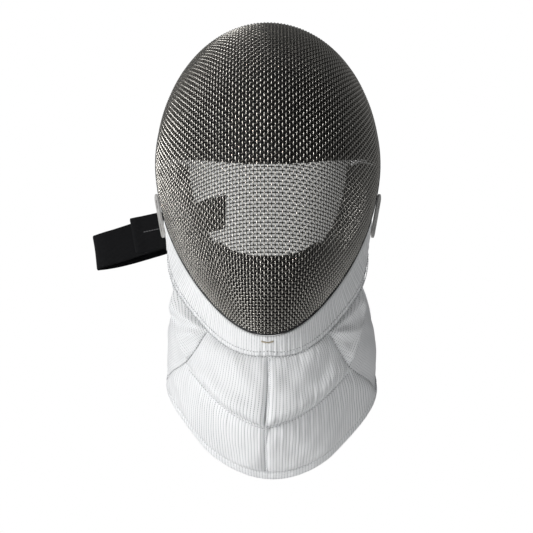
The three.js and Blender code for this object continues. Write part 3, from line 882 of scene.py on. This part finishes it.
FOLD = np.array([
    # down, round: where the upper layer of a side hangs over the lower one
    (0.13, 0.87),
    (0.165, 0.79),
    (0.23, 0.757),
    (0.37, 0.757),
    (0.42, 0.657),
    (0.453, 0.588),
    (0.52, 0.53),
])


def inside_fold(round_, down):
    """How far a point is from the fold in mm, above 0 on the upper layer."""
    here = np.stack([np.abs(round_) * ROUND_MM, down * DOWN_MM], -1)[..., None, :]
    line = FOLD[:, ::-1] * (ROUND_MM, DOWN_MM)
    start, run = line[:-1], line[1:] - line[:-1]
    share = np.clip(((here - start) * run).sum(-1) / (run**2).sum(-1), 0, 1)
    distance = np.linalg.norm(here - start - share[..., None] * run, axis=-1).min(-1)
    upper = np.abs(round_) < np.interp(down, FOLD[:, 0], FOLD[:, 1], right=0.0)
    return np.where(upper, distance, -distance)


FAN_ROUND, FAN_DOWN = 0.42, 0.2
FAN_FOLDS = 11
FAN_FROM, FAN_TO = 4, 18  # mm from the corner, where the folds begin and where they are at their full height


def fan_folds(round_, down, turn):
    """Soft folds that spread out from the corner where the side seam leaves the band."""
    across, below = (np.abs(round_) - FAN_ROUND) * ROUND_MM, (down - FAN_DOWN) * DOWN_MM
    folds = np.sin(np.arctan2(below, across) * FAN_FOLDS + turn)
    return folds * smoothstep(np.hypot(across, below), FAN_FROM, FAN_TO)


# how far the seams lie in and how far the filling stands out from them, in mm
THROAT_FULL, CHEST_SUNK, CHEST_FULL, SIDE_SUNK, SIDE_FULL = 4.8, -1.2, 4.2, -0.9, 3.3


def throat_panel(side, word):
    def height(round_, down, gaps):
        full = filling(gaps, inner=1.9, outer=3.5, top=4.0, bottom=2.6)
        roll = 3.6 * ridge(gaps["bottom"], 9, 9) * smoothstep(gaps["outer"], 0, 25)
        waves = puckers(gaps["inner"], gaps["top"], 11 + side, height=0.9)
        waves = waves + puckers(gaps["inner"], gaps["bottom"], 13 + side, height=1.2, fade=9)
        waves = waves + puckers(gaps["top"], gaps["outer"], 15 + side, height=0.6)
        waves = waves + uneven(round_, down, 17 + side, height=0.7)
        sunk = -1.2 if side > 0 else -1.8
        return sunk + (THROAT_FULL + roll + waves) * full
    panel("throat_panel_" + word, 120, 110, front_place(side, band_down, v_seam_down), height,
          upright_ribs, ["bib_throat_" + word])


def chest_panel(side, word):
    hem = lambda round_: np.full_like(np.asarray(round_, float), HEM_FROM)

    def height(round_, down, gaps):
        full = filling(gaps, inner=1.9, outer=4.0, top=8.0, bottom=2.0, kept_at_bottom=HEM_REST)
        waves = puckers(gaps["inner"], gaps["top"], 21 + side, height=2.0, fade=9)
        waves = waves + puckers(gaps["inner"], gaps["bottom"], 23 + side, height=0.4)
        waves = waves + uneven(round_, down, 27 + side, height=0.8)
        middle_seam = (-0.4 if side > 0 else -0.8) * np.exp(-gaps["inner"] / 2)
        return CHEST_SUNK + (CHEST_FULL + waves) * full + middle_seam
    panel("chest_panel_" + word, 120, 80, front_place(side, v_seam_down, hem), height,
          upright_ribs, ["bib_chest_" + word])


LOWER_LAYER, LAYER_STEP, DEEPEST_FOLD = -3.4, 7.4, -3.0
BAND_GAP = 0.001  # how far the side panels and the band each stop short of their seam
RIB_SLANT_U, RIB_SLANT_V = 0.5, 0.866


def side_panel(side, word):
    def place(p, q):
        seam_down = mix(band_down(0.45), HEM_FROM, q)
        round_ = mix(side_seam_round(seam_down), 1.0, 1 - (1 - p) ** WING_CROWDING)
        return side * round_, mix(band_down(round_) + BAND_GAP, HEM_FROM, q)

    def height(round_, down, gaps):
        full = filling(gaps, inner=3.5, outer=3.0, top=3.5, bottom=3.0, kept_at_bottom=HEM_REST)
        waves = puckers(gaps["inner"], gaps["top"], 31 + side, height=0.7)
        waves = waves + puckers(gaps["top"], gaps["inner"], 33 + side, height=0.6)
        waves = waves + uneven(round_, down, 37 + side, height=0.6)
        upper = inside_fold(round_, down)
        roll = 1.8 * ridge(upper, 4, 4)
        fan = 1.9 * fan_folds(round_, down, side) * smoothstep(upper, 0, 8)
        layer = LOWER_LAYER + (LAYER_STEP + roll + fan) * smoothstep(upper, -0.9, 0.9)
        crease = 1.8 * ridge(upper, -1.6, 1.5)
        return np.maximum(SIDE_SUNK + (SIDE_FULL + waves + layer - crease) * full, DEEPEST_FOLD)

    def slanted_ribs(round_, down):
        u, v = round_ * ROUND_MM * side, down * DOWN_MM
        return RIB_SLANT_U * u + RIB_SLANT_V * v, RIB_SLANT_V * u - RIB_SLANT_U * v
    panel("side_panel_" + word, 100, 115, place, height, slanted_ribs, ["bib_side_" + word])


BAND_TOP = 0.01
BAND_COLUMNS, BAND_ROWS = 640, 16
PLEAT_HEIGHT, PLEAT_PITCH = 0.16, 4.3
SLIT_DEPTH, SLIT_HALF_WIDTH = 1.6, 0.5
SLIT_FADES_FROM, SLIT_FADES_TO = 1.5, 3.5


def band():
    p, q = unit_grid(BAND_COLUMNS, BAND_ROWS)
    share = mix(-1.0, 1.0, p)
    round_ = share * (1 + BAND_CROWDING - BAND_CROWDING * share**2)
    down = mix(BAND_TOP, band_down(round_) - BAND_GAP, q)
    base = bib_face(round_, down)
    tall = column_lengths(base)
    length = run_lengths(base[:, BAND_ROWS // 2])[:, None]
    top, bottom = q * tall, (1 - q) * tall
    from_middle = length - length[BAND_COLUMNS // 2]
    slit = ridge(from_middle, 0, SLIT_HALF_WIDTH) * (1 - smoothstep(top, SLIT_FADES_FROM, SLIT_FADES_TO))
    pleats = PLEAT_HEIGHT * np.sin(length * TAU / PLEAT_PITCH + 1.5 * np.sin(length / 17)) * rise(top, 3)
    gathers = puckers(length, bottom, 41, height=0.9, fade=6)
    proud = -0.6 + 1.2 * rise(top, 0.7) * rise(bottom, 2.5) + pleats + gathers - SLIT_DEPTH * slit
    made = cloth_wall("neck_band", bib_point(round_, down, proud), bib_point(round_, down, 0.3 - BIB_WALL),
                      (length, top), BAND_CLOTH, ["bib_band"])


HEM_COLUMNS, HEM_ROWS, HEM_GAP = 360, 12, 0.002


def hem():
    p, q = unit_grid(HEM_COLUMNS, HEM_ROWS)
    round_, down = mix(-1.0, 1.0, p), mix(HEM_FROM + HEM_GAP, 1.0, q)
    tall = column_lengths(bib_face(round_, down))
    top, bottom = q * tall, (1 - q) * tall
    edge = rise(top, 1.0) * rise(bottom, 0.8)
    proud = -0.3 + 1.2 * edge + puckers(round_ * ROUND_MM, top, 51, height=0.4, fade=5)
    inward = -BIB_WALL - 0.3 - 0.3 * edge
    made = cloth_wall("hem_binding", bib_point(round_, down, proud), bib_point(round_, down, inward),
                      upright_ribs(round_, down), CLOTH, ["bib_hem"])


STITCH_PITCH, STITCH_LENGTH, STITCH_RADIUS, STITCH_SIDES = 3.0, 2.2, 0.4, 6
STITCH_PROFILE = np.array([
    # along, share of the radius
    (-0.5, 0.35),
    (-0.38, 0.8),
    (0.0, 1.0),
    (0.38, 0.8),
    (0.5, 0.35),
])


def stitches(name, path, out, material, pitch=STITCH_PITCH, length=STITCH_LENGTH, radius=STITCH_RADIUS,
             slant=0.0, start=None):
    """A row of stitches: one short rounded thread every pitch along a path."""
    lengths = run_lengths(path)
    stops = np.arange(pitch / 2 if start is None else start, lengths[-1], pitch)
    centres, outs = at_lengths(stops, lengths, path), unit(at_lengths(stops, lengths, out))
    along = unit(along_path(centres))
    side = unit(np.cross(outs, along))
    if slant:
        along = unit(along * math.cos(slant) + side * math.sin(slant))
        side = unit(np.cross(outs, along))
    angle = np.arange(STITCH_SIDES) / STITCH_SIDES * TAU
    widths = STITCH_PROFILE[:, 1, None, None]
    faces = tube_faces(len(STITCH_PROFILE), STITCH_SIDES)
    parts = []
    for centre, forward, across, up in zip(centres, along, side, outs):
        spine = centre + forward * length * STITCH_PROFILE[:, :1]
        ring = radius * (np.cos(angle)[:, None] * across + np.sin(angle)[:, None] * up)
        parts.append(((spine[:, None, :] + widths * ring[None]).reshape(-1, 3), faces))
    points, faces = join_parts(parts)
    make_object(name, points, faces, material)


HOLE_LENGTH, HOLE_RADIUS = 0.8, 0.42


def bib_row(name, round_, down, proud, material=THREAD, hole_shades=False, **options):
    """A row of stitches on the bib, with a dark grey dot of painted shade at the needle hole between each
    two, when asked for.
    """
    round_, down = np.broadcast_arrays(np.asarray(round_, float), down)
    path = bib_point(round_, down, proud)
    stitches(name, path, bib_out(round_, down), material, **options)
    if hole_shades:
        # dark dots of painted shade at the needle holes, between the stitches
        stitches(name + "_hole_shades", path, bib_out(round_, down), NEEDLE_HOLE_SHADE, start=STITCH_PITCH, length=HOLE_LENGTH,
                 radius=HOLE_RADIUS)


def bib_stitching():
    sweep = np.linspace(-0.96, 0.96, 500)
    bib_row("band_stitch_upper", sweep, band_down(sweep) - 0.028, 0.55, hole_shades=True)
    bib_row("band_stitch_lower", sweep, band_down(sweep) + 0.006, 0.3, hole_shades=True)
    front = np.linspace(-0.52, 0.52, 300)
    bib_row("v_seam_stitch", front, v_seam_down(front) + 0.012, -0.4, hole_shades=True)
    bib_row("hem_stitch", np.linspace(-0.98, 0.98, 500), HEM_FROM - 0.004, -0.2, hole_shades=True)
    seam_down = np.linspace(0.21, 0.93, 200)
    for side, word in SIDES:
        bib_row("side_stitch_" + word, side * side_seam_round(seam_down), seam_down, -0.6, hole_shades=True)
    middle = np.linspace(BAND_FRONT + 0.02, HEM_FROM, 200)
    bib_row("centre_cord", 0.006, middle, 0.9, pitch=1.9, length=2.6, radius=0.75, slant=0.9)
    tack = np.linspace(-0.04, 0.035, 40)
    bib_row("bar_tack", tack, 0.052 - 4 * (tack + 0.005) ** 2, 0.9, TACK_THREAD,
            pitch=0.45, length=1.3, radius=0.3, slant=1.45)


# ---- the strap and plates ----

def centripetal(route, steps):
    """A centripetal Catmull-Rom curve through the route, as in the CAD."""
    ends = np.concatenate([[2 * route[0] - route[1]], route, [2 * route[-1] - route[-2]]])
    made = []
    for a, b, c, d in zip(ends[:-3], ends[1:-2], ends[2:-1], ends[3:]):
        ab, bc, cd = (math.sqrt(np.linalg.norm(v)) for v in (b - a, c - b, d - c))
        start = ((b - a) / ab - (c - a) / (ab + bc) + (c - b) / bc) * bc
        end = ((c - b) / bc - (d - b) / (bc + cd) + (d - c) / cd) * bc
        t = np.linspace(0, 1, steps, endpoint=False)[:, None]
        square, cube = 3 * (c - b) - 2 * start - end, 2 * (b - c) + start + end
        made.append(b + start * t + square * t**2 + cube * t**3)
    return np.concatenate(made + [route[-1:]])


# the way across the webbing: at the tab, round the loop and at the free end
TAB_UP, LOOP_UP = np.array([-0.186, 0.0, 1.0]), np.array([-0.17, 0.34, 1.0])
FREE_END_UP = np.array([0.0, 0.3, 0.95])
TAB_TO_KNOT, LOOP_FROM_KNOT = 8, 10.5  # places in the route
FREE_END_FROM_X, FREE_END_TO_X, FREE_END_BEHIND_Y = -80, -62, 157
STRAP_CORNER, STRAP_STEPS, STRAP_COLUMNS = 0.7, 14, 24


def strap():
    path = centripetal(STRAP_ROUTE, STRAP_STEPS)
    along = along_path(path)
    knots = np.linspace(0, len(STRAP_ROUTE) - 1, len(path))
    share = smoothstep(knots, TAB_TO_KNOT, LOOP_FROM_KNOT)[:, None]
    up = unit(mix(TAB_UP, LOOP_UP, share))
    across = unit(up - along * (along * up).sum(-1)[:, None])
    upright = smoothstep(path[:, :1], FREE_END_FROM_X, FREE_END_TO_X) * (path[:, 1:2] > FREE_END_BEHIND_Y)
    across = unit(mix(across, FREE_END_UP, upright))
    out = np.cross(along, across)
    half = STRAP_WIDTH / 2
    v = np.linspace(-half, half, STRAP_COLUMNS + 1)
    into_corner = np.clip(np.abs(v) - half + STRAP_CORNER, 0, STRAP_CORNER) / STRAP_CORNER
    edge = np.sqrt(np.clip(1 - into_corner**2, 0.06, 1))
    middle = path[:, None] + across[:, None] * v[None, :, None]
    thickness = STRAP_THICKNESS / 2 * out[:, None] * edge[None, :, None]
    cloth_wall("strap_webbing", middle + thickness, middle - thickness, (run_lengths(path)[:, None], v),
               STRAP, ["strap"])
    return path, across, out


TAB_STITCH_FROM_X, TAB_STITCH_TO_X, TAB_STITCH_BEFORE_Y, TAB_STITCH_UP = -119, -100, 149, 2.0


def strap_stitch(path, across, out):
    """The grey line of stitches along the front of the tab."""
    x, y = path[:, 0], path[:, 1]
    tab = np.flatnonzero((x < TAB_STITCH_TO_X) & (x > TAB_STITCH_FROM_X) & (y < TAB_STITCH_BEFORE_Y))
    forward = out[tab] * (1 if out[tab[0], 1] < 0 else -1)
    row = path[tab] + forward * (STRAP_THICKNESS / 2 + 0.1) + across[tab] * TAB_STITCH_UP
    stitches("tab_stitch", row, forward, GREY_THREAD, pitch=2.6, length=2.3, radius=0.45)


PLATE_BEVEL = 0.0003


def carried_nodes():
    """The CAD's own steel pieces keep their shape and get the finish."""
    for name in ("strap_plate_left", "strap_plate_right", "strap_bar"):
        node = frame["nodes"][name]
        node.data.materials.clear()
        node.data.materials.append(PLATE)
        rounding = node.modifiers.new("edges", "BEVEL")
        rounding.width = PLATE_BEVEL
        rounding.segments = 2
        rounding.limit_method = "ANGLE"


# ---- camera, floor and light ----

LENS = 80.8
EYE = np.array([-1.25, -1000.0, -55.6])  # in the bowl's frame, looking straight along its depth
FLOOR_HALF, FLOOR_BELOW = 12.0, 0.35  # metres
CARD_DEPTH, CARD_FROM, CARD_TO = 2500.0, (-263.0, -72.0), (246.0, 329.0)  # in the bowl's frame
WORLD_TINT, WORLD_STRENGTH = (0.97, 0.985, 1, 1), 0.17
LIGHTS = (
    # name, metres from the mask's middle, width, height, power, for the cloth only
    ("key", (-1.5, -0.95, 0.75), 0.6, 1.9, 32, False),
    ("low", (-0.3, -1.5, -1.05), 0.9, 0.9, 38, False),
    ("cloth_fill", (0.45, -1.5, -0.45), 0.9, 0.9, 11, True),
)


def camera():
    data = bpy.data.cameras.new("camera")
    data.lens = LENS
    eye = bpy.data.objects.new("camera", data)
    eye.location = to_row(EYE).tolist()
    eye.rotation_euler = (math.pi / 2 - BOWL_TILT, 0, 0)
    bpy.context.scene.collection.objects.link(eye)
    bpy.context.scene.camera = eye


def rectangle(low, high):
    return [low, (high[0], low[1]), high, (low[0], high[1])]


def stage_sheet(name, corners, material):
    """A flat four-cornered sheet that belongs to the studio, not to the mask."""
    mesh = bpy.data.meshes.new(name)
    mesh.from_pydata(corners, [], [(0, 1, 2, 3)])
    mesh.materials.append(material)
    sheet = bpy.data.objects.new(name, mesh)
    bpy.context.scene.collection.objects.link(sheet)


def world_light():
    """The camera sees a white surround, and the mask is lit by a much dimmer one."""
    world = bpy.data.worlds.new("studio")
    world.use_nodes = True
    nodes, links = world.node_tree.nodes, world.node_tree.links
    nodes.clear()
    seen, lit, share, both, out = (nodes.new(kind) for kind in (
        "ShaderNodeBackground", "ShaderNodeBackground", "ShaderNodeLightPath", "ShaderNodeMixShader",
        "ShaderNodeOutputWorld"))
    seen.inputs["Color"].default_value = (1, 1, 1, 1)
    lit.inputs["Color"].default_value = WORLD_TINT
    lit.inputs["Strength"].default_value = WORLD_STRENGTH
    links.new(share.outputs["Is Camera Ray"], both.inputs[0])
    links.new(lit.outputs[0], both.inputs[1])
    links.new(seen.outputs[0], both.inputs[2])
    links.new(both.outputs[0], out.inputs[0])
    bpy.context.scene.world = world


def cloth_pieces():
    """A collection of the bib's pieces, for the light that only they receive."""
    cloth = bpy.data.collections.new("lit_by_the_cloth_fill")
    for piece in bpy.context.scene.objects:
        if piece.type == "MESH" and piece.data.materials:
            if piece.data.materials[0] in (CLOTH, BAND_CLOTH, THREAD):
                cloth.objects.link(piece)
    return cloth


def studio():
    lowest, highest = (np.array(corner) for corner in cad_box)
    ground = float(lowest[2]) - FLOOR_BELOW
    around = rectangle((-FLOOR_HALF, -FLOOR_HALF), (FLOOR_HALF, FLOOR_HALF))
    stage_sheet("floor", [(x, y, ground) for x, y in around], floor_paint())

    # a sheet far behind the mask that shows painted shade, which the part of the mesh without pads is seen
    # against
    corners = np.array([(x, CARD_DEPTH, z) for x, z in rectangle(CARD_FROM, CARD_TO)])
    stage_sheet("painted_shade_card", to_row(corners).tolist(), paint_shade_card())

    world_light()
    cloth = cloth_pieces()
    for name, away, width, height, power, cloth_only in LIGHTS:
        data = bpy.data.lights.new(name, "AREA")
        data.shape, data.size, data.size_y, data.energy = "RECTANGLE", width, height, power
        lamp = bpy.data.objects.new(name, data)
        lamp.location = Vector((lowest + highest) / 2) + Vector(away)
        lamp.rotation_euler = (-Vector(away)).to_track_quat("-Z", "Y").to_euler()
        bpy.context.scene.collection.objects.link(lamp)
        if cloth_only:
            lamp.light_linking.receiver_collection = cloth


camera()
woven_bowl()
edge_trim()
pads()
for side, word in SIDES:
    throat_panel(side, word)
    chest_panel(side, word)
    side_panel(side, word)
band()
hem()
bib_stitching()
strap_stitch(*strap())
carried_nodes()
studio()

scene = bpy.context.scene
scene.view_settings.view_transform = "Standard"
scene.view_settings.look = "None"
